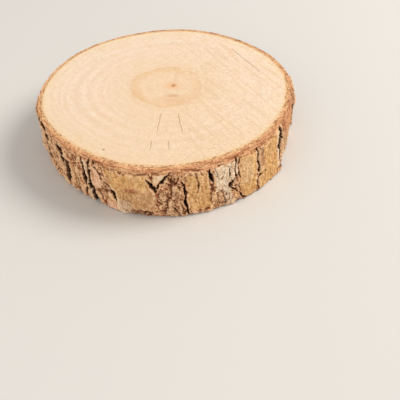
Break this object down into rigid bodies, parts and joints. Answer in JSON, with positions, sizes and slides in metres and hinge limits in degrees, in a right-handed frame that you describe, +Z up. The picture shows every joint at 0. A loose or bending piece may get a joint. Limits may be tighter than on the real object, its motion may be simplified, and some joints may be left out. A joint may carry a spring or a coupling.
{
  "type": "wood slice",
  "caption": "Round slice of a small log with its rough bark left on, sawn flat on both faces; used as a coaster, stand or craft blank.",
  "frame": {"origin": "centre of the outline's box, on the lower sawn face that the slice rests on", "axes": "+Z up, out of the upper sawn face; -Y towards the side that faces the viewer"},
  "size_m": [0.1036, 0.1036, 0.021],
  "materials": {
    "wood": "bare sanded pale sapwood on both cut faces, rough grey-brown and ochre bark with dark fissures round the edge"
  },
  "bodies": {
    "root": {"wood_slice": "wood"}
  },
  "joints": []
}
